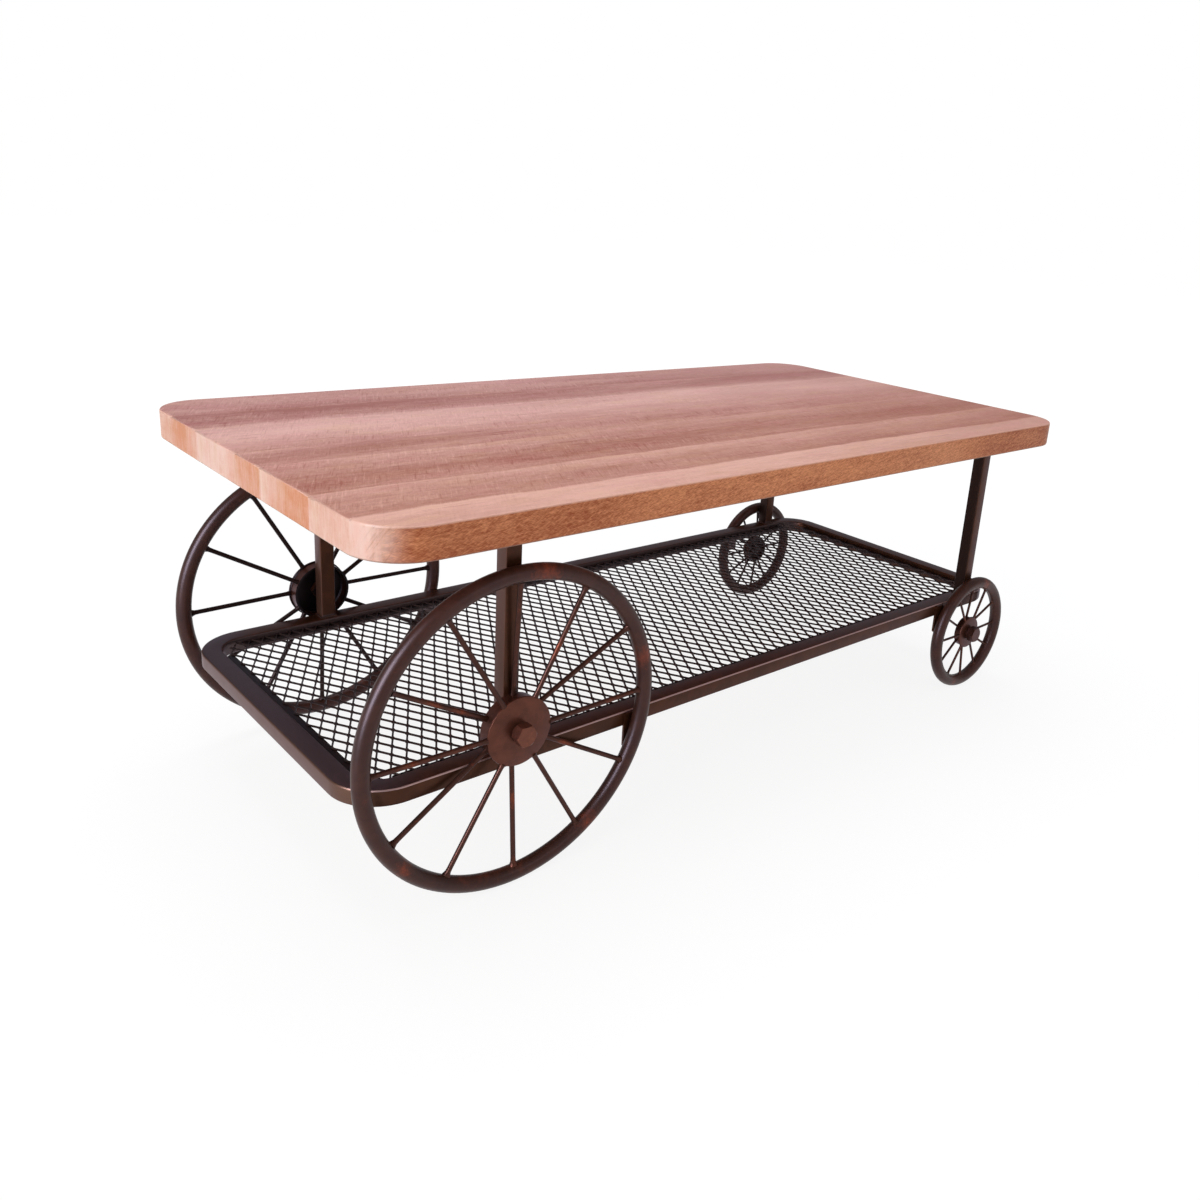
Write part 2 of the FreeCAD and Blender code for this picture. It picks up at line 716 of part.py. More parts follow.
for side_name, side in SIDES:
    add_wheel(side_name, "big", big_wheel_x, side, ZERO)
    place, rotation = add_wheel(side_name, "small", small_wheel_x, side,
                                size["small_hub_back"])
    upper_bottom = size["shelf_top_height"] + size["upper_tab_lift"]
    upper_middle = upper_bottom + size["upper_tab_height"] / 2 - size["small_wheel_radius"]
    add_tab(side_name + "_small_upper_tab", size["upper_tab_width"],
            size["upper_tab_height"], ZERO, upper_middle, place, rotation)


# Checks and files

doc.recompute()
for item in doc.Objects:
    if "Invalid" in item.State or "Error" in item.State:
        raise RuntimeError("%s: %s" % (item.Label, item.State))
os.makedirs("parts", exist_ok=True)
for piece in pieces:
    shape = piece.Shape
    if shape.isNull() or not shape.isValid() or not shape.Solids:
        raise RuntimeError("bad shape: " + piece.Label)
for piece in pieces:
    piece.Shape.exportStep("parts/%s.step" % piece.Label)
print("pieces:", len(pieces), "solids:", sum(len(piece.Shape.Solids) for piece in pieces))
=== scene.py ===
import math
import random

import bmesh
import bpy
from mathutils import Matrix, Vector


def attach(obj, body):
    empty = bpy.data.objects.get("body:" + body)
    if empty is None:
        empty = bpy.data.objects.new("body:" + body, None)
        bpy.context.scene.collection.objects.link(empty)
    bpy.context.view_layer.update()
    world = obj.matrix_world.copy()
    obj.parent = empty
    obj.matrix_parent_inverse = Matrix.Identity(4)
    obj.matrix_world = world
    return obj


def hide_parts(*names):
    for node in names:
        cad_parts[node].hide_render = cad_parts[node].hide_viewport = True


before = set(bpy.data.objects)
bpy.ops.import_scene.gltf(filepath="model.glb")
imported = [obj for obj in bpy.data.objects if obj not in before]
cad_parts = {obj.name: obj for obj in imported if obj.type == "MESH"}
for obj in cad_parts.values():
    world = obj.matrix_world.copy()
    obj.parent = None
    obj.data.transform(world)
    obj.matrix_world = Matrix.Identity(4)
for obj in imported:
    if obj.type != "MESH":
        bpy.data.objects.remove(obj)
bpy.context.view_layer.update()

MM = 0.001

# Sizes in millimetres, in the frame of the CAD nodes
TOP_Z = 465.0
TOP_THICKNESS = 36.0
HALF_LENGTH = 600.0
HALF_WIDTH = 310.0
TOP_CORNER = 60.0
TOP_EDGE_ROUND = 2.5
PLANK_JOINT_ROUND = 0.2
FRAME_X = 592.0
FRAME_Y = 240.0
FRAME_CORNER = 60.0
RAIL_TOP = 160.0
RAIL_WIDTH = 25.0
RAIL_HEIGHT = 20.0
RAIL_CORNER = 2.6
POST_Y = 230.0
POST_SIZE = 20.0
POST_TOP = 425.0
POST_CORNER = 2.0
RIM_TUBE = 9.6
RIM_OFFSET = 12.9
HUB_WALL = 3.0
HUB_LIP = 2.0
HUB_HOLE = 6.3
WASHER_SEAT = 13.6
OUTER_SPOKE_INSET = 2.5
INNER_SPOKE_EDGE = 1.0
SPOKES_PER_ROW = 6
BIG = {"x": -408.0, "radius": 192.0, "rim_steps": 160, "rod": 3.0,
       "hub": 39.0, "back": 0.0, "front": 19.0}
SMALL = {"x": 503.0, "radius": 97.0, "rim_steps": 112, "rod": 2.0,
         "hub": 25.0, "back": 5.0, "front": 17.0}
SIDES = (("front", -1), ("rear", 1))
QUADRANTS = ((1, 1), (-1, 1), (-1, -1), (1, -1))

# How finely the round shapes are divided
TOP_EDGE_STEPS = 4
TOP_CORNER_STEPS = 14
TUBE_CORNER_STEPS = 4
FRAME_BEND_STEPS = 16
RIM_SECTION_STEPS = 24
HUB_STEPS = 72
ROD_STEPS = 12
BEAD_STEPS = 8


def on_wheel(wheel, side, angle, radius, out):
    """Place on a wheel: angle and radius about its axle, and how far out from the rails."""
    return Vector((wheel["x"] + radius * math.cos(angle), side * (FRAME_Y + out),
                   wheel["radius"] + radius * math.sin(angle)))


# Materials

def srgb(red, green, blue):
    """Linear colour of an sRGB colour given as 0-255."""
    def lin(value):
        value /= 255.0
        return value / 12.92 if value <= 0.04045 else ((value + 0.055) / 1.055) ** 2.4
    return (lin(red), lin(green), lin(blue), 1.0)


def shaded(color, share):
    """Linear colour of an sRGB colour made darker or paler."""
    return srgb(*[value * share for value in color])


class Shader:
    """Short calls for building a node material."""

    def __init__(self, name):
        self.material = bpy.data.materials.new(name)
        self.material.use_nodes = True
        self.tree = self.material.node_tree
        self.tree.nodes.clear()
        self.output = self.tree.nodes.new("ShaderNodeOutputMaterial")

    def node(self, kind, inputs=(), **settings):
        node = self.tree.nodes.new(kind)
        for key, value in settings.items():
            setattr(node, key, value)
        for key, value in dict(inputs).items():
            self.feed(node.inputs[key], value)
        return node

    def feed(self, socket, value):
        if isinstance(value, bpy.types.NodeSocket):
            self.tree.links.new(value, socket)
        elif value is not None:
            socket.default_value = value

    def place(self):
        """Coordinates in the frame, in metres."""
        return self.node("ShaderNodeTexCoord").outputs["Object"]

    def parts(self, vector):
        return self.node("ShaderNodeSeparateXYZ", {"Vector": vector}).outputs

    def normal(self):
        """Direction of the surface, as X, Y and Z."""
        return self.parts(self.node("ShaderNodeNewGeometry").outputs["Normal"])

    def vector(self, x, y=None, z=None):
        return self.node("ShaderNodeCombineXYZ", {0: x, 1: y, 2: z}).outputs[0]

    def tilted(self, vector, degrees):
        """A vector turned about Y."""
        turn = (0.0, math.radians(degrees), 0.0)
        return self.node("ShaderNodeMapping", {"Vector": vector, "Rotation": turn}).outputs[0]

    def math(self, operation, first, second=None, clamp=False):
        node = self.tree.nodes.new("ShaderNodeMath")
        node.operation = operation
        node.use_clamp = clamp
        for socket, value in zip(node.inputs, (first, second)):
            self.feed(socket, value)
        return node.outputs[0]

    def product(self, first, *others):
        for value in others:
            first = self.math("MULTIPLY", first, value)
        return first

    def unit(self, value):
        """A value held between 0 and 1."""
        return self.math("MAXIMUM", self.math("MINIMUM", value, 1.0), 0.0)

    def mix(self, factor, first, second, blend="MIX"):
        node = self.tree.nodes.new("ShaderNodeMix")
        node.data_type = "RGBA"
        node.blend_type = blend
        node.clamp_factor = True
        for key, value in ((0, factor), (6, first), (7, second)):
            self.feed(node.inputs[key], value)
        return node.outputs[2]

    def range(self, value, low, high, to_low=0.0, to_high=1.0, smooth=True):
        node = self.tree.nodes.new("ShaderNodeMapRange")
        node.interpolation_type = "SMOOTHSTEP" if smooth else "LINEAR"
        for key, item in enumerate((value, low, high, to_low, to_high)):
            self.feed(node.inputs[key], item)
        return node.outputs[0]

    def band(self, value, rising, falling):
        """1 between two limits, each given as where it starts and where it is full."""
        return self.product(self.range(value, *rising), self.range(value, *falling))

    def noise(self, vector, scale, detail, roughness=0.55, distortion=0.0,
              offset=(0.0, 0.0, 0.0)):
        """Noise with its own scale, in turns per metre, along X, Y and Z."""
        stretched = self.node("ShaderNodeMapping", {
            "Vector": vector, "Scale": scale, "Location": offset}).outputs[0]
        return self.node("ShaderNodeTexNoise", {
            "Vector": stretched, "Scale": 1.0, "Detail": detail,
            "Roughness": roughness, "Distortion": distortion}).outputs["Fac"]

    def stops(self, value, points):
        """Grey ramp through (position, level) points."""
        node = self.tree.nodes.new("ShaderNodeValToRGB")
        ramp = node.color_ramp
        while len(ramp.elements) < len(points):
            ramp.elements.new(0.5)
        for element, (position, level) in zip(ramp.elements, points):
            element.position = position
            element.color = (level, level, level, 1.0)
        self.feed(node.inputs[0], value)
        return node.outputs[0]

    def finish(self, color, roughness, height, distance, strength, **plain):
        """Material of a colour, a roughness and a relief of that distance in metres."""
        shader = self.tree.nodes.new("ShaderNodeBsdfPrincipled")
        self.feed(shader.inputs["Base Color"], color)
        self.feed(shader.inputs["Roughness"], roughness)
        for name, value in plain.items():
            shader.inputs[name.replace("_", " ")].default_value = value
        bump = self.node("ShaderNodeBump", {"Height": height, "Strength": strength,
                                            "Distance": distance})
        self.tree.links.new(bump.outputs[0], shader.inputs["Normal"])
        self.tree.links.new(shader.outputs[0], self.output.inputs["Surface"])
        return self.material


# Plank edges across the top, front to rear, as shares of its width.
PLANK_SHARES = (0.078, 0.140, 0.192, 0.106, 0.197, 0.134, 0.153)

# How far the grain jumps from one plank to the next.
GRAIN_JUMP = 3.37

# Tone of the veneer across the top and across the ends: place from the front, then
# tone from dark to light. Two stops close together make a plank's edge.
FACE_TONES = (
    (-310, 0.86), (-261, 0.98), (-258, 0.34), (-222, 0.44), (-177, 0.70), (-174, 0.30),
    (-125, 0.20), (-92, 0.34), (-58, 0.56), (-54, 0.38), (-15, 0.34), (35, 0.60),
    (80, 0.84), (134, 0.80), (142, 0.44), (160, 0.20), (205, 0.16), (250, 0.42), (310, 0.52))
END_TONES = (
    (-310, 0.96), (-263, 0.92), (-260, 0.78), (-200, 0.68), (-176, 0.84), (-174, 0.10),
    (-120, 0.20), (-90, 0.58), (-57, 0.88), (-55, 0.22), (4, 0.34), (18, 0.72),
    (60, 0.92), (128, 0.94), (133, 0.50), (166, 0.30), (170, 0.06), (213, 0.26),
    (217, 0.52), (310, 0.62))


def across_tones(s, y, tones):
    """Tone at a place across the top."""
    share = s.range(y, -HALF_WIDTH * MM, HALF_WIDTH * MM, smooth=False)
    points = [((place + HALF_WIDTH) / (2 * HALF_WIDTH), tone) for place, tone in tones]
    return s.stops(share, points)


def plank_number(s, y):
    """A different whole number on each plank, to break the grain at its edges."""
    edge, total = -HALF_WIDTH * MM, None
    for share in PLANK_SHARES[:-1]:
        edge += share * 2 * HALF_WIDTH * MM
        past = s.math("GREATER_THAN", y, edge)
        total = past if total is None else s.math("ADD", total, past)
    return total


def centred(s, value, amount):
    """A 0 to 1 value as a change of tone about nothing."""
    return s.product(s.math("SUBTRACT", value, 0.5), amount)


def varied(s, tone, changes):
    """A tone with 0 to 1 values added, each by its amount."""
    for value, amount in changes:
        tone = s.math("ADD", tone, centred(s, value, amount))
    return tone


def saw_marks(s, x, y, moved):
    """Straight short saw marks, all leaning one way, in patches towards the left end.

    Gives dark marks, light marks and a fine chatter between them.
    """
    leaning = s.math("ADD", x, s.product(y, -0.50))
    cut = s.vector(leaning, y)
    marks = s.noise(cut, (330.0, 24.0, 1.0), 1.0)
    chatter = s.noise(cut, (600.0, 80.0, 1.0), 2.0, offset=(3.0, 5.0, 0.0))
    patches = s.noise(moved, (3.0, 15.0, 1.0), 2.0, offset=(2.0, 1.0, 0.0))
    patches = s.math("ADD", patches, s.range(x, 0.2, -0.5, 0.0, 0.16))
    patches = s.range(patches, 0.42, 0.64, 0.15, 1.0)
    patches = s.product(patches, s.range(y, -0.27, -0.24, 0.35, 1.0))
    return (s.product(s.range(marks, 0.60, 0.74), patches),
            s.product(s.range(marks, 0.40, 0.28), patches),
            s.product(centred(s, chatter, 0.44), patches))


def veneer_top(s, place, x, y, grit):
    """Colour, relief and roughness of the top."""
    sway = s.noise(place, (3.2, 0.0, 0.0), 2.0, 0.5)
    ripple = s.noise(place, (26.0, 5.0, 0.0), 2.0, 0.5)
    waver = s.math("ADD", centred(s, sway, 0.034), centred(s, ripple, 0.008))
    wavy_y = s.math("ADD", y, waver)
    jump = s.product(plank_number(s, wavy_y), GRAIN_JUMP)
    moved = s.node("ShaderNodeVectorMath", {0: place, 1: s.vector(jump, None, jump)},
                   operation="ADD").outputs[0]

    # Bands with blotches, streaks, short flecks, fibres and grit
    blotch = s.noise(moved, (3.4, 17.0, 1.0), 3.0, 0.55, 0.3)
    streak = s.noise(moved, (5.0, 105.0, 1.0), 4.0, 0.6, 0.35)
    fleck = s.noise(moved, (62.0, 190.0, 1.0), 3.0, 0.65, 0.4)
    fibre = s.noise(moved, (32.0, 460.0, 1.0), 3.0, 0.6)
    tone = varied(s, across_tones(s, wavy_y, FACE_TONES), (
        (blotch, 0.74), (streak, 0.46), (fleck, 0.50), (fibre, 0.36), (grit, 0.30)))

    # Saw marks, thin dark lines and the shaded right front, calmer towards the right
    dark_mark, light_mark, chatter = saw_marks(s, x, y, moved)
    lines = s.noise(moved, (9.0, 190.0, 1.0), 3.0, 0.6, 0.3, offset=(4.0, 3.0, 0.0))
    thin = s.range(lines, 0.37, 0.28)
    shade = s.product(s.range(x, -0.1, 0.5), s.range(y, 0.06, -0.16))
    for value, amount in ((shade, 0.16), (thin, 0.34), (dark_mark, 0.24)):
        tone = s.math("SUBTRACT", tone, s.product(value, amount))
    tone = s.math("ADD", tone, s.product(light_mark, 0.18))
    tone = s.math("ADD", tone, chatter)
    calm = s.range(x, 0.0, 0.55, 0.0, 0.34)
    tone = s.math("ADD", tone, s.product(calm, s.math("SUBTRACT", 0.42, tone)), clamp=True)

    # Colours, a little yellower and rosier in places, and dark pores
    rosy = s.range(y, -0.22, 0.24)
    dark = s.mix(rosy, srgb(161, 91, 71), srgb(159, 94, 86))
    light = s.mix(rosy, srgb(231, 178, 161), srgb(227, 178, 169))
    color = s.mix(tone, dark, light)
    hue = s.noise(moved, (11.0, 40.0, 1.0), 3.0, 0.6, offset=(7.0, 9.0, 0.0))
    color = s.mix(s.range(hue, 0.50, 0.66, 0.0, 0.8), color, (0.99, 1.0, 0.90, 1.0), "MULTIPLY")
    color = s.mix(s.range(hue, 0.50, 0.34, 0.0, 0.8), color, (1.0, 0.93, 0.97, 1.0), "MULTIPLY")
    pore = s.range(s.noise(moved, (60.0, 1100.0, 1.0), 2.0), 0.64, 0.74)
    color = s.mix(s.product(pore, 0.28), color, srgb(126, 78, 68))

    relief = s.math("ADD", s.product(streak, 0.25), s.product(fibre, 0.40))
    relief = s.math("SUBTRACT", relief, s.product(pore, 0.35))
    relief = s.math("SUBTRACT", relief, s.product(dark_mark, 0.40))
    return color, relief, s.range(streak, 0.2, 0.8, 0.40, 0.54)


def veneer_ends(s, place, y, grit):
    """Colour of the ends: upright grain, pale to orange."""
    upright = s.noise(place, (30.0, 120.0, 20.0), 3.0, 0.6, 0.6)
    hair = s.noise(place, (60.0, 420.0, 52.0), 2.0, 0.6, 0.4)
    cloud = s.noise(place, (26.0, 26.0, 46.0), 3.0, 0.6)
    tone = varied(s, across_tones(s, y, END_TONES), (
        (upright, 0.72), (hair, 0.72), (cloud, 0.70), (grit, 0.36)))
    color = s.mix(s.unit(tone), srgb(221, 142, 98), srgb(246, 206, 192))
    hue = s.noise(place, (40.0, 55.0, 14.0), 2.0, offset=(5.0, 1.0, 2.0))
    color = s.mix(s.range(hue, 0.50, 0.68), color, (1.0, 0.93, 0.92, 1.0), "MULTIPLY")
    return s.mix(s.range(hue, 0.50, 0.32), color, (0.98, 0.99, 0.93, 1.0), "MULTIPLY")


def veneer_sides(s, place, x, grit):
    """Colour and relief of the long sides: orange brown, short flecks leaning both ways."""
    flecks = [s.noise(s.tilted(place, degrees), scale, 2.0, 0.6, 0.4)
              for degrees, scale in ((30.0, (130.0, 90.0, 760.0)),
                                     (-22.0, (150.0, 90.0, 900.0)),
                                     (8.0, (60.0, 90.0, 520.0)))]
    cloud = s.noise(place, (9.0, 4.0, 34.0), 4.0, 0.6)
    tone = s.math("SUBTRACT", s.range(x, -0.38, -0.24, 0.40, 0.62),
                  s.range(x, 0.22, 0.52, 0.0, 0.34))
    tone = varied(s, tone, zip(flecks + [cloud, grit], (1.35, 1.15, 1.10, 0.85, 0.50)))
    color = s.mix(s.unit(tone), srgb(151, 70, 30), srgb(224, 148, 100))
    return color, s.product(s.math("ADD", flecks[0], flecks[1]), 0.35)


def veneer():
    """Rustic veneer: banded top with saw marks, upright grain on the ends, flecked sides."""
    s = Shader("rustic_veneer")
    place = s.place()
    x, y, z = s.parts(place)
    grit = s.noise(place, (330.0, 330.0, 330.0), 2.0, 0.6)
    top, top_relief, roughness = veneer_top(s, place, x, y, grit)
    ends = veneer_ends(s, place, y, grit)
    sides, side_relief = veneer_sides(s, place, x, grit)

    # The two edge grains meet raggedly on the round corners, with curled lines.
    normal = s.normal()
    sideways = s.math("ABSOLUTE", normal[1])
    between = s.band(sideways, (0.35, 0.62), (1.0, 0.82))
    wander = s.product(centred(s, s.noise(place, (60.0, 60.0, 26.0), 3.0), 0.40), between)
    to_side = s.range(s.math("ADD", sideways, wander), 0.46, 0.96, smooth=False)
    rim = s.mix(to_side, ends, sides)
    round_corner = s.math("ADD", s.product(x, 0.7), s.product(s.math("ADD", y, z), -0.7))
    curl = s.noise(s.vector(round_corner, z), (230.0, 34.0, 1.0), 2.0, 0.6, 0.5)
    curl = s.product(s.range(curl, 0.50, 0.66), between)
    rim = s.mix(s.product(curl, 0.30), rim, srgb(166, 96, 60))
    facing = s.range(s.math("ABSOLUTE", normal[2]), 0.55, 0.85)
    color = s.mix(facing, rim, top)

    # The softened upper edge is rubbed a little paler and carries a painted highlight,
    # and the lower one gets a darker painted shade.
    edge = s.band(normal[2], (0.12, 0.4), (0.98, 0.8))
    color = s.mix(s.product(edge, 0.40), color, srgb(236, 190, 172))
    painted_low_edge_shade = s.band(normal[2], (-0.2, -0.5), (-0.98, -0.9))
    color = s.mix(s.product(painted_low_edge_shade, 0.60), color, srgb(104, 66, 44))

    relief = s.node("ShaderNodeMix", {0: facing, 2: side_relief, 3: top_relief},
                    data_type="FLOAT").outputs[0]
    return s.finish(color, roughness, relief, distance=0.0003, strength=0.5,
                    Specular_IOR_Level=0.30)


def rail_painted_light_and_shade(s, base, dark, normal, outward, along, height):
    """Painted light and shade on the rails and posts, by place and by the way a face looks."""
    # Pale line along the outer upper edge: painted highlight
    line = s.product(s.band(normal[2], (0.25, 0.50), (0.97, 0.85)),
                     s.range(outward, 0.15, 0.45))
    left_end = s.range(along, -0.50, -0.56)
    post_left = s.product(s.range(normal[0], -0.6, -0.9), s.range(height, 0.160, 0.166))
    for share, color in (
            # Outer upper edge, a pale painted highlight
            (s.product(line, 0.80), srgb(204, 170, 168)),
            # Left faces of the right posts, darker: painted shade
            (s.product(post_left, s.range(along, 0.40, 0.45)), shaded(dark, 0.62)),
            # Left end rail: slate painted reflection on top, painted light outside
            (s.product(left_end, s.range(normal[2], 0.85, 0.97)), srgb(76, 62, 66)),
            (s.product(left_end, s.range(normal[0], -0.3, -0.8)), srgb(104, 76, 62)),
            # Inner faces of the rails, greyer and paler: painted light
            (s.product(s.range(outward, -0.3, -0.8), s.range(height, 0.166, 0.162)),
             srgb(80, 66, 66)),
            # Left faces of the left posts, paler: painted light
            (s.product(post_left, s.range(along, 0.0, -0.1)), srgb(98, 68, 56))):
        base = s.mix(share, base, color)
    return base


def bronze(name, seed, dark, worn, patchy, speckled, metallic=0.5, specular=0.22,
           shine=(0.34, 0.44), relief=0.00010, spots=(), painted_inner_shade=None,
           rails=False, painted_shade_right=1.0):
    """Dark bronze paint rubbed through to copper, in patches and in fine specks.

    Spots are rubbed places, each a point and a reach in millimetres. The inner shade is a
    darker colour painted as shade on what faces the table's middle. Rails adds painted
    light and shade on the rails and posts. The right share darkens the small wheels' parts
    as painted shade.
    """
    s = Shader(name)
    place = s.place()
    offset = (seed, seed * 0.7, seed * 1.3)
    cloud = s.noise(place, (8.0, 8.0, 8.0), 2.0, 0.5, offset=offset)
    mottle = s.noise(place, (42.0, 42.0, 42.0), 4.0, 0.65, 0.3, offset=offset)
    streaky = s.noise(place, (170.0, 170.0, 170.0), 3.0, 0.7, offset=offset)
    speck = s.noise(place, (700.0, 700.0, 700.0), 2.0, 0.6, offset=offset)
    base = s.mix(s.range(mottle, 0.3, 0.7), shaded(dark, 0.90), shaded(dark, 1.10))

    patch = s.math("ADD", s.product(cloud, 0.8), s.product(mottle, 0.35))
    patch = s.range(patch, 0.70 - 0.14 * patchy, 0.84 - 0.12 * patchy)
    patch = s.product(patch, 0.25 + 0.55 * patchy)
    for centre, reach in spots:
        away = s.node("ShaderNodeVectorMath", {0: place, 1: tuple(v * MM for v in centre)},
                      operation="DISTANCE").outputs["Value"]
        ragged = centred(s, s.math("ADD", mottle, streaky), reach * MM)
        spot = s.range(s.math("ADD", away, ragged), reach * MM, 0.0, 0.0, 0.95)
        patch = s.math("MAXIMUM", patch, spot)
    base = s.mix(patch, base, srgb(*worn))
    fine = s.range(streaky, 0.60 - 0.05 * speckled, 0.72)
    base = s.mix(s.product(fine, 0.04 + 0.50 * speckled), base,
                 srgb(worn[0] * 1.05, worn[1] * 0.98, worn[2] * 0.95))

    normal = s.normal()
    along, across, height = s.parts(place)
    outward = s.product(normal[1], s.math("SIGN", across))
    # What faces the table's middle takes the darker colour: painted shade.
    if painted_inner_shade:
        base = s.mix(s.range(outward, 0.15, -0.30), base, srgb(*painted_inner_shade))
    # Painted light and shade on the rails and posts
    if rails:
        base = rail_painted_light_and_shade(s, base, dark, normal, outward, along, height)
    # The small wheels' parts are darkened: painted shade.
    if painted_shade_right < 1.0:
        base = s.mix(s.range(along, 0.40, 0.45), base,
                     (painted_shade_right, painted_shade_right, painted_shade_right, 1.0), "MULTIPLY")

    roughness = s.math("ADD", s.product(mottle, 0.7), s.product(patch, 0.3))
    skin = s.math("ADD", s.product(speck, 0.4), s.product(streaky, 0.6))
    return s.finish(base, s.range(roughness, 0.2, 0.8, *shine), skin, distance=relief,
                    strength=0.45, Metallic=metallic, Specular_IOR_Level=specular,
                    Specular_Tint=(0.88, 0.84, 1.0, 1.0))


# Rubbed places on the rims: wheel, side, angle and reach
RIM_SPOTS = ((BIG, -1, 82, 48), (BIG, -1, 16, 46), (BIG, -1, 304, 40), (BIG, -1, 219, 34),
             (SMALL, -1, 72, 30), (SMALL, -1, 250, 26), (BIG, 1, 96, 38), (BIG, 1, 330, 36))
RIM_SPOT_OUT = RIM_OFFSET + 7.0

# Rubbed lengths of the near big wheel's spokes: angle and place along the radius
SPOKE_SPOTS = ((150, 80), (150, 120), (180, 70), (180, 130), (60, 100), (0, 130),
               (330, 80), (270, 90))
SPOKE_SPOT_OUT = 12.0
SPOKE_SPOT_REACH = 36.0

rim_spots = [(on_wheel(wheel, side, math.radians(degrees), wheel["radius"] - RIM_TUBE,
                       RIM_SPOT_OUT), reach) for wheel, side, degrees, reach in RIM_SPOTS]
spoke_spots = [(on_wheel(BIG, -1, math.radians(degrees), radius, SPOKE_SPOT_OUT),
                SPOKE_SPOT_REACH) for degrees, radius in SPOKE_SPOTS]

frame_metal = bronze("frame_bronze", 1.0, (71, 41, 24), (98, 58, 38), 0.10, 0.06,
                     rails=True)
rim_metal = bronze("rim_bronze", 5.0, (66, 38, 28), (150, 68, 38), 0.16, 0.04,
                   metallic=0.06, specular=0.26, shine=(0.36, 0.46), relief=0.00003,
                   spots=rim_spots)
# Spokes, hubs and bolts darken where they face the table's middle, and hubs and bolts  darken
# on the small wheels: both painted shade.
spoke_metal = bronze("spoke_bronze", 9.0, (72, 43, 33), (158, 76, 44), 0.35, 0.25,
                     spots=spoke_spots, painted_inner_shade=(37, 22, 17))
hub_metal = bronze("hub_bronze", 13.0, (92, 53, 40), (124, 66, 44), 0.40, 0.15,
                   painted_inner_shade=(34, 27, 28), painted_shade_right=0.72)
bolt_metal = bronze("bolt_bronze", 17.0, (112, 66, 50), (158, 88, 64), 0.50, 0.35,
                    painted_inner_shade=(40, 30, 30), painted_shade_right=0.50)
mesh_metal = bronze("mesh_bronze", 21.0, (56, 42, 39), (92, 64, 54), 0.05, 0.05)
# The ledges under the mesh are a darker copy of the paint: painted shade.
ledge_metal_painted_shade = bronze("ledge_bronze_painted_shade", 23.0, (32, 20, 18), (60, 38, 30), 0.05, 0.05)
weld_metal = bronze("weld_bronze", 25.0, (70, 50, 42), (104, 66, 50), 0.20, 0.20)


# Meshes

def piece(name, points, faces, material, slot, nodes=(), smooth_angle=38.0):
    """Object from points in millimetres, closed and turned outward, on the frame's body."""
    mesh = bpy.data.meshes.new(name)
    mesh.from_pydata([Vector(p) * MM for p in points], [], faces)
    mesh.materials.append(material)
    edit = bmesh.new()
    edit.from_mesh(mesh)
    bmesh.ops.recalc_face_normals(edit, faces=edit.faces)
    edit.to_mesh(mesh)
    edit.free()
    mesh.shade_smooth()
    mesh.set_sharp_from_angle(angle=math.radians(smooth_angle))
    made = bpy.data.objects.new(name, mesh)
    bpy.context.scene.collection.objects.link(made)
    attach(made, "root")
    if nodes:
        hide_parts(*nodes)
    return made


def joined(parts):
    """One list of points and faces from several."""
    points, faces = [], []
    for more_points, more_faces in parts:
        start = len(points)
        points.extend(more_points)
        faces.extend([tuple(i + start for i in face) for face in more_faces])
    return points, faces


def rings(sections, closed=False):
    """Skin over rings with equal point counts, capped at its ends unless it is closed."""
    count, total = len(sections[0]), len(sections)
    points = [p for section in sections for p in section]
    faces = []
    for i in range(total if closed else total - 1):
        here, after = i * count, ((i + 1) % total) * count
        for j in range(count):
            k = (j + 1) % count
            faces.append((here + j, here + k, after + k, after + j))
    if not closed:
        faces.append(tuple(range(count))[::-1])
        faces.append(tuple(range((total - 1) * count, total * count)))
    return points, faces


def rounded_loop(width, height, radius):
    """Corner-rounded rectangle about the origin, as (a, b) pairs."""
    loop = []
    for corner, (sx, sy) in enumerate(QUADRANTS):
        cx, cy = sx * (width / 2 - radius), sy * (height / 2 - radius)
        for step in range(TUBE_CORNER_STEPS + 1):
            angle = (corner + step / TUBE_CORNER_STEPS) * math.pi / 2
            loop.append((cx + radius * math.cos(angle), cy + radius * math.sin(angle)))
    return loop


def lathe(profile, wheel, side, steps):
    """Turns a closed outline of (radius, out) pairs about a wheel's axle."""
    return rings([[on_wheel(wheel, side, 2 * math.pi * i / steps, radius, out)
                   for radius, out in profile] for i in range(steps)], closed=True)


def tube(path, radii, steps):
    """Round bar along a path of Vectors, with a radius at each point."""
    sections = []
    for i, point in enumerate(path):
        ahead = path[min(i + 1, len(path) - 1)] - path[max(i - 1, 0)]
        ahead.normalize()
        side = ahead.cross(Vector((0.0, 1.0, 0.0)))
        if side.length < 0.2:
            side = ahead.cross(Vector((1.0, 0.0, 0.0)))
        side.normalize()
        other = ahead.cross(side)
        ring = []
        for j in range(steps):
            angle = 2 * math.pi * j / steps
            ring.append(point + (side * math.cos(angle) + other * math.sin(angle)) * radii[i])
        sections.append(ring)
    return rings(sections)


# Top

def outline_x(y):
    """How far the top's outline reaches along X at that Y."""
    flat = HALF_WIDTH - TOP_CORNER
    if abs(y) <= flat:
        return HALF_LENGTH
    drop = min(abs(y) - flat, TOP_CORNER)
    return HALF_LENGTH - TOP_CORNER + math.sqrt(TOP_CORNER ** 2 - drop ** 2)


def plank_outline(low, high):
    """Plan outline of one plank, counter-clockwise, with the top's round corners."""
    levels = {low, high}
    flat = HALF_WIDTH - TOP_CORNER
    for step in range(TOP_CORNER_STEPS + 1):
        bend = flat + TOP_CORNER * math.sin(math.pi / 2 * step / TOP_CORNER_STEPS)
        levels.update(y for y in (bend, -bend) if low < y < high)
    levels = sorted(levels)
    right = [(outline_x(y), y) for y in levels]
    left = [(-outline_x(y), y) for y in reversed(levels)]
    return right + left


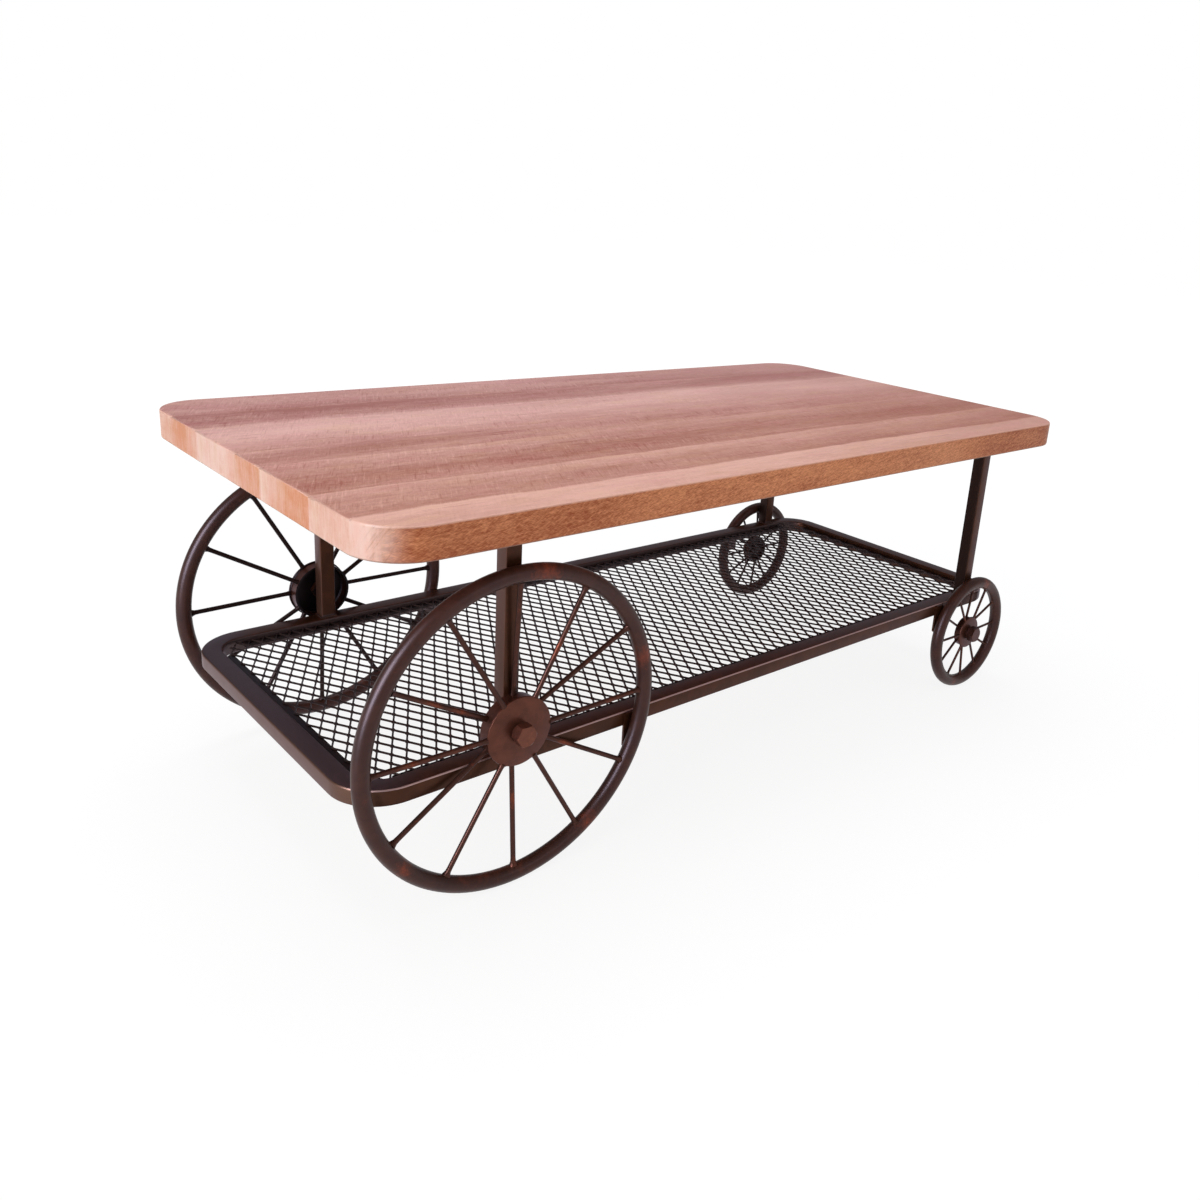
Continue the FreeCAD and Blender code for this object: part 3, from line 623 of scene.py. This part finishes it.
def round_edges(plank):
    """Softens a plank's level edges: those of the top's outline more than the joints."""
    mesh = plank.data
    near = 0.01
    weights = mesh.attributes.new("bevel_weight_edge", "FLOAT", "EDGE")
    for edge in mesh.edges:
        a, b = (mesh.vertices[i].co / MM for i in edge.vertices)
        if abs(a.z - b.z) > near:
            continue
        joint = abs(a.y - b.y) < near and abs(abs(a.y) - HALF_WIDTH) > near
        weights.data[edge.index].value = PLANK_JOINT_ROUND / TOP_EDGE_ROUND if joint else 1.0
    bevel = plank.modifiers.new("edges", "BEVEL")
    bevel.limit_method = "WEIGHT"
    bevel.width = TOP_EDGE_ROUND * MM
    bevel.segments = TOP_EDGE_STEPS


wood = veneer()
plank_edge = -HALF_WIDTH
for number, share in enumerate(PLANK_SHARES, start=1):
    next_edge = plank_edge + 2 * HALF_WIDTH * share
    if number == len(PLANK_SHARES):
        next_edge = HALF_WIDTH
    outline = plank_outline(plank_edge, next_edge)
    levels = [[(x, y, z) for x, y in outline] for z in (TOP_Z - TOP_THICKNESS, TOP_Z)]
    round_edges(piece("plank_%d" % number, *rings(levels), wood, "top_wood",
                      ("top_plank_%d" % number,)))
    plank_edge = next_edge


# Shelf frame, posts

def frame_ring():
    """Closed sweep of the rail's section round the shelf."""
    section = rounded_loop(RAIL_WIDTH, RAIL_HEIGHT, RAIL_CORNER)
    middle = RAIL_TOP - RAIL_HEIGHT / 2
    bend = FRAME_CORNER - RAIL_WIDTH / 2
    sections = []
    for number, (sx, sy) in enumerate(QUADRANTS):
        corner = Vector((sx * (FRAME_X - FRAME_CORNER), sy * (FRAME_Y - FRAME_CORNER), middle))
        for step in range(FRAME_BEND_STEPS + 1):
            angle = (number + step / FRAME_BEND_STEPS) * math.pi / 2
            out = Vector((math.cos(angle), math.sin(angle), 0.0))
            centre = corner + out * bend
            sections.append([centre + out * a + Vector((0, 0, b)) for a, b in section])
    return rings(sections, closed=True)


piece("shelf_rails", *frame_ring(), frame_metal, "frame_metal",
      ("shelf_frame_left", "shelf_frame_right"), smooth_angle=50)

post_section = rounded_loop(POST_SIZE, POST_SIZE, POST_CORNER)
post_levels = (RAIL_TOP, RAIL_TOP + 1.0, 290.0, POST_TOP - 1.0, POST_TOP)
for side_name, side in SIDES:
    for end_name, wheel in (("left", BIG), ("right", SMALL)):
        sections = [[Vector((wheel["x"] + a, side * POST_Y + b, level))
                     for a, b in post_section] for level in post_levels]
        piece("post_tube_%s_%s" % (side_name, end_name), *rings(sections), frame_metal,
              "frame_metal", ("post_%s_%s" % (side_name, end_name),))


# Expanded metal: zigzag strands along Y, bonded to each other at every second turn

MESH_HALF_X = 566.3
MESH_HALF_Y = 214.3
MESH_CORNER = 34.3
MESH_Z = 154.0
MESH_STEP_X = 9.14
MESH_STEP_Y = 16.5
MESH_BOND = 2.0
STRAND_REACH = 220.0
STRAND_INSET = 0.92
STRAND_HALF = 1.45
STRAND_THIN = 0.52
STRAND_TILT = math.radians(28.0)
# Outline of a strand, as shares of its half width and half thickness
STRAND_OUTLINE = ((0.86, 1.0), (-0.86, 1.0), (-1.0, 0.4), (-1.0, -0.4),
                  (-0.86, -1.0), (0.86, -1.0), (1.0, -0.4), (1.0, 0.4))


def mesh_limit_y(x):
    """How far the mesh reaches along Y at that X, inside the rails' round corners."""
    over = abs(x) - (MESH_HALF_X - MESH_CORNER)
    if over <= 0:
        return MESH_HALF_Y
    if over >= MESH_CORNER:
        return 0.0
    return MESH_HALF_Y - MESH_CORNER + math.sqrt(MESH_CORNER ** 2 - over ** 2)


def strand_path(column, limit):
    """Turns of one strand between two columns of bonds, cut at the mesh's edge."""
    left, right = column * MESH_STEP_X, (column + 1) * MESH_STEP_X
    rows = int(STRAND_REACH / MESH_STEP_Y) + 2
    line = []
    for row in range(-rows, rows + 1):
        x = left + STRAND_INSET if (column + row) % 2 == 0 else right - STRAND_INSET
        line.append((x, row * MESH_STEP_Y - MESH_BOND))
        line.append((x, row * MESH_STEP_Y + MESH_BOND))
    kept = []
    for (ax, ay), (bx, by) in zip(line, line[1:]):
        if by <= -limit or ay >= limit:
            continue
        start = max(0.0, (-limit - ay) / (by - ay))
        end = min(1.0, (limit - ay) / (by - ay))
        if not kept:
            kept.append((ax + (bx - ax) * start, ay + (by - ay) * start))
        kept.append((ax + (bx - ax) * end, ay + (by - ay) * end))
    return kept


def strand(column):
    """One strand as a flat bar on the tilt, or None where the mesh is too short for it."""
    limit = min(mesh_limit_y(column * MESH_STEP_X), mesh_limit_y((column + 1) * MESH_STEP_X))
    if limit < MESH_STEP_Y:
        return None
    wide = Vector((math.cos(STRAND_TILT), 0.0, math.sin(STRAND_TILT))) * STRAND_HALF
    thin = Vector((-math.sin(STRAND_TILT), 0.0, math.cos(STRAND_TILT))) * STRAND_THIN
    return rings([[Vector((x, y, MESH_Z)) + wide * a + thin * b for a, b in STRAND_OUTLINE]
                  for x, y in strand_path(column, limit)])


columns = int(MESH_HALF_X / MESH_STEP_X)
strands = [strand(column) for column in range(-columns, columns)]
piece("expanded_metal", *joined([item for item in strands if item]), mesh_metal,
      "shelf_metal", ("shelf_mesh",), smooth_angle=30)


# Wheels

# Along a rod from hub to rim: share of its length, and its thickness there as a share
ROD_SWELL = ((0.0, 1.25), (0.012, 1.2), (0.03, 1.05), (0.06, 1.0), (0.5, 1.0),
             (0.93, 1.0), (0.965, 1.08), (0.985, 1.4), (1.0, 1.7))
ROD_INTO_HUB = 1.0
ROD_INTO_RIM = 0.6


def rim_profile(wheel):
    """Round section of the rim."""
    angles = [2 * math.pi * j / RIM_SECTION_STEPS for j in range(RIM_SECTION_STEPS)]
    return [(wheel["radius"] - RIM_TUBE + RIM_TUBE * math.cos(angle),
             RIM_OFFSET + RIM_TUBE * math.sin(angle)) for angle in angles]


def hub_profile(wheel):
    """Closed section of the cup: a wall, and a front disc that stands out past it."""
    wall, lip = wheel["hub"], wheel["hub"] + HUB_LIP
    back, front = wheel["back"], wheel["front"]
    disc_back = front - HUB_WALL
    inside = wall - HUB_WALL
    return ((wall, back), (wall, disc_back - 0.5), (wall + 0.5, disc_back),
            (lip - 0.4, disc_back), (lip, disc_back + 0.4), (lip, front - 0.8),
            (lip - 0.25, front - 0.25), (lip - 0.8, front), (WASHER_SEAT, front),
            (HUB_HOLE, front), (HUB_HOLE, disc_back), (inside - 1.5, disc_back),
            (inside, disc_back - 1.5), (inside, back))


def spoke(wheel, side, degrees, hub_radius, hub_out):
    """Round rod that swells where it is welded to the hub and to the rim."""
    angle = math.radians(degrees)
    start = on_wheel(wheel, side, angle, hub_radius - ROD_INTO_HUB, hub_out)
    end = on_wheel(wheel, side, angle, wheel["radius"] - 2 * RIM_TUBE + ROD_INTO_RIM,
                   RIM_OFFSET)
    return tube([start.lerp(end, where) for where, _ in ROD_SWELL],
                [wheel["rod"] * swell for _, swell in ROD_SWELL], ROD_STEPS)


def build_wheel(prefix, wheel, side):
    """A rim, a hub and two rows of rods, the inner row half a step round."""
    rim = lathe(rim_profile(wheel), wheel, side, wheel["rim_steps"])
    piece(prefix + "_ring", *rim, rim_metal, "wheel_metal", (prefix + "_rim",))
    hub = lathe(hub_profile(wheel), wheel, side, HUB_STEPS)
    piece(prefix + "_cup", *hub, hub_metal, "wheel_metal", (prefix + "_hub",),
          smooth_angle=32)
    step = 360 / SPOKES_PER_ROW
    outer_out = wheel["front"] - OUTER_SPOKE_INSET
    inner_out = wheel["back"] + wheel["rod"] + INNER_SPOKE_EDGE
    for row, hub_radius, hub_out, first in (
            ("outer", wheel["hub"] + HUB_LIP, outer_out, 0),
            ("inner", wheel["hub"], inner_out, step / 2)):
        rods = [spoke(wheel, side, first + step * k, hub_radius, hub_out)
                for k in range(SPOKES_PER_ROW)]
        piece("%s_%s_rods" % (prefix, row), *joined(rods), spoke_metal, "wheel_metal",
              ("%s_%s_spokes" % (prefix, row),))


for side_name, side in SIDES:
    build_wheel(side_name + "_big", BIG, side)
    build_wheel(side_name + "_small", SMALL, side)


# Welds round the posts' feet, but for the outer side, and all round their tops

WELD_RADIUS = 1.7
WELD_OUT = 0.2
WELD_LIFT = 0.3
FOOT_SEED = 7
HEAD_SEED = 3


def weld(path, radius, seed, closed=False):
    """Rippled bead along a path."""
    source = random.Random(seed)
    fine = []
    legs = list(zip(path, path[1:] + path[:1] if closed else path[1:]))
    for a, b in legs:
        count = max(2, int((b - a).length / (radius * 0.55)))
        fine.extend([a.lerp(b, k / count) for k in range(count)])
    fine.append(legs[-1][1].copy())
    radii = []
    for k in range(len(fine)):
        ripple = 0.86 + 0.14 * math.cos(k * 2.1) + source.uniform(-0.06, 0.06)
        taper = min(1.0, 0.45 + 0.25 * min(k, len(fine) - 1 - k))
        radii.append(radius * ripple * (1.0 if closed else taper))
    return tube(fine, radii, BEAD_STEPS)


beads = []
for _, side in SIDES:
    for wheel in (BIG, SMALL):
        half = POST_SIZE / 2 + WELD_OUT
        x, y = wheel["x"], side * POST_Y
        foot = [Vector((x + a * half, y + b * half, RAIL_TOP + WELD_LIFT))
                for a, b in ((-1, -1), (1, -1), (1, 1), (-1, 1))]
        head = [Vector((p.x, p.y, POST_TOP - WELD_LIFT)) for p in foot]
        inner = (0, 3, 2, 1) if side < 0 else (3, 0, 1, 2)
        beads.append(weld([foot[i] for i in inner], WELD_RADIUS,
                          FOOT_SEED + wheel["x"] + side))
        beads.append(weld(head, WELD_RADIUS, HEAD_SEED + wheel["x"] + side, closed=True))
piece("post_welds", *joined(beads), weld_metal, "frame_metal")


# Materials of the nodes that stay

def paint(node, material):
    mesh_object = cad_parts[node]
    mesh_object.data.materials.clear()
    mesh_object.data.materials.append(material)


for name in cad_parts:
    if name.endswith(("_bolt", "_nut", "_washer", "_screws")):
        paint(name, bolt_metal)
    elif name.startswith("mesh_ledge"):
        paint(name, ledge_metal_painted_shade)
    elif name.endswith("_tab") or name.startswith("top_plate"):
        paint(name, frame_metal)


# Stage and light

FLOOR_REACH = 14.0
FLOOR_COLOR = (0.92, 0.92, 0.92, 1.0)
FLOOR_GLOW = 1.06
# Share of pure white in what the camera sees: near the table, and how far that goes
NEAR_WHITE = 0.82
NEAR_REACH, FAR_REACH = 0.9, 2.0
WHITE = (1.0, 1.0, 1.0, 1.0)
AMBIENT_COLOR = (0.95, 0.97, 1.0, 1.0)
AMBIENT_STRENGTH = 0.38


def floor_material():
    """White to the camera, with a soft shadow near the table; plain matt to the light."""
    s = Shader("floor_white")
    away = s.node("ShaderNodeVectorMath", {0: s.place()}, operation="LENGTH").outputs["Value"]
    white_share = s.range(away, NEAR_REACH, FAR_REACH, NEAR_WHITE, 1.0)
    path = s.node("ShaderNodeLightPath")
    seen = s.math("MAXIMUM", path.outputs["Is Camera Ray"],
                  s.math("MAXIMUM", path.outputs["Is Glossy Ray"],
                         path.outputs["Is Transmission Ray"]))
    diffuse = s.node("ShaderNodeBsdfDiffuse", {"Color": FLOOR_COLOR})
    glow = s.node("ShaderNodeEmission", {"Color": WHITE, "Strength": FLOOR_GLOW})
    mixed = s.node("ShaderNodeMixShader", {
        0: s.product(seen, white_share), 1: diffuse.outputs[0], 2: glow.outputs[0]})
    s.tree.links.new(mixed.outputs[0], s.output.inputs["Surface"])
    return s.material


floor_mesh = bpy.data.meshes.new("floor")
floor_mesh.from_pydata([(x * FLOOR_REACH, y * FLOOR_REACH, 0)
                        for x, y in ((-1, -1), (1, -1), (1, 1), (-1, 1))], [], [(0, 1, 2, 3)])
floor_mesh.materials.append(floor_material())
floor = bpy.data.objects.new("floor", floor_mesh)
bpy.context.scene.collection.objects.link(floor)

world = bpy.data.worlds.new("studio")
bpy.context.scene.world = world
world.use_nodes = True
tree = world.node_tree
tree.nodes.clear()


def background(color, strength):
    node = tree.nodes.new("ShaderNodeBackground")
    node.inputs["Color"].default_value = color
    node.inputs["Strength"].default_value = strength
    return node.outputs[0]


# The camera sees white; the table sees a dimmer ambient light.
to_camera = tree.nodes.new("ShaderNodeLightPath").outputs["Is Camera Ray"]
choose = tree.nodes.new("ShaderNodeMixShader")
world_output = tree.nodes.new("ShaderNodeOutputWorld")
for number, source in enumerate((to_camera, background(AMBIENT_COLOR, AMBIENT_STRENGTH),
                                 background(WHITE, 1.0))):
    tree.links.new(source, choose.inputs[number])
tree.links.new(choose.outputs[0], world_output.inputs[0])


def soft_light(name, place, target, width, height, watts, color, gloss_only=False):
    """Rectangular lamp aimed at a target; one for gloss only adds no matt light."""
    lamp = bpy.data.lights.new(name, "AREA")
    lamp.shape = "RECTANGLE"
    lamp.size = width
    lamp.size_y = height
    lamp.energy = watts
    lamp.color = color
    made = bpy.data.objects.new(name, lamp)
    bpy.context.scene.collection.objects.link(made)
    made.visible_diffuse = not gloss_only
    aim = (Vector(target) - Vector(place)).to_track_quat("-Z", "Y")
    made.matrix_world = Matrix.Translation(place) @ aim.to_matrix().to_4x4()


soft_light("left_window", (-3.0, -0.6, 1.5), (0.0, 0.0, 0.3), 2.0, 1.6, 34, (1.0, 0.96, 0.92))
soft_light("overhead", (0.1, 0.5, 3.0), (0.0, 0.0, 0.4), 2.6, 2.0, 47, (0.92, 0.94, 1.0))
soft_light("front_fill", (0.6, -3.2, 1.5), (0.0, 0.0, 0.3), 2.4, 1.6, 15, (1.0, 0.97, 0.93))
soft_light("window_glint", (-3.0, -0.6, 1.3), (-0.4, 0.0, 0.25), 1.2, 2.2, 190,
           (0.84, 0.88, 1.0), gloss_only=True)


# Camera, fitted to the photograph: focal length and centre in its pixels

CAMERA_AT = Vector((-0.997726, -1.115105, 0.757662))
FOCAL = 1046.03
CENTRE = (694.84, 525.43)
PITCH, ROLL, YAW = 0.2975, -0.0788, 0.7705
PHOTO = 1200.0
SENSOR = 36.0
CLIP_START = 0.05


def camera_axes():
    """Right, down and forward directions of the camera."""
    look = Vector((math.sin(YAW) * math.cos(PITCH), math.cos(YAW) * math.cos(PITCH),
                   -math.sin(PITCH)))
    right = look.cross(Vector((0.0, 0.0, 1.0))).normalized()
    down = look.cross(right)
    turned_right = right * math.cos(ROLL) + down * math.sin(ROLL)
    turned_down = down * math.cos(ROLL) - right * math.sin(ROLL)
    return turned_right, turned_down, look


right, down, look = camera_axes()
lens = bpy.data.cameras.new("photo_camera")
lens.sensor_width = SENSOR
lens.lens = FOCAL / PHOTO * SENSOR
lens.shift_x = 0.5 - CENTRE[0] / PHOTO
lens.shift_y = CENTRE[1] / PHOTO - 0.5
lens.clip_start = CLIP_START
camera = bpy.data.objects.new("photo_camera", lens)
bpy.context.scene.collection.objects.link(camera)
axes = Matrix((right, -down, -look)).transposed().to_4x4()
camera.matrix_world = Matrix.Translation(CAMERA_AT) @ axes
bpy.context.scene.camera = camera
bpy.context.scene.view_settings.view_transform = "Standard"
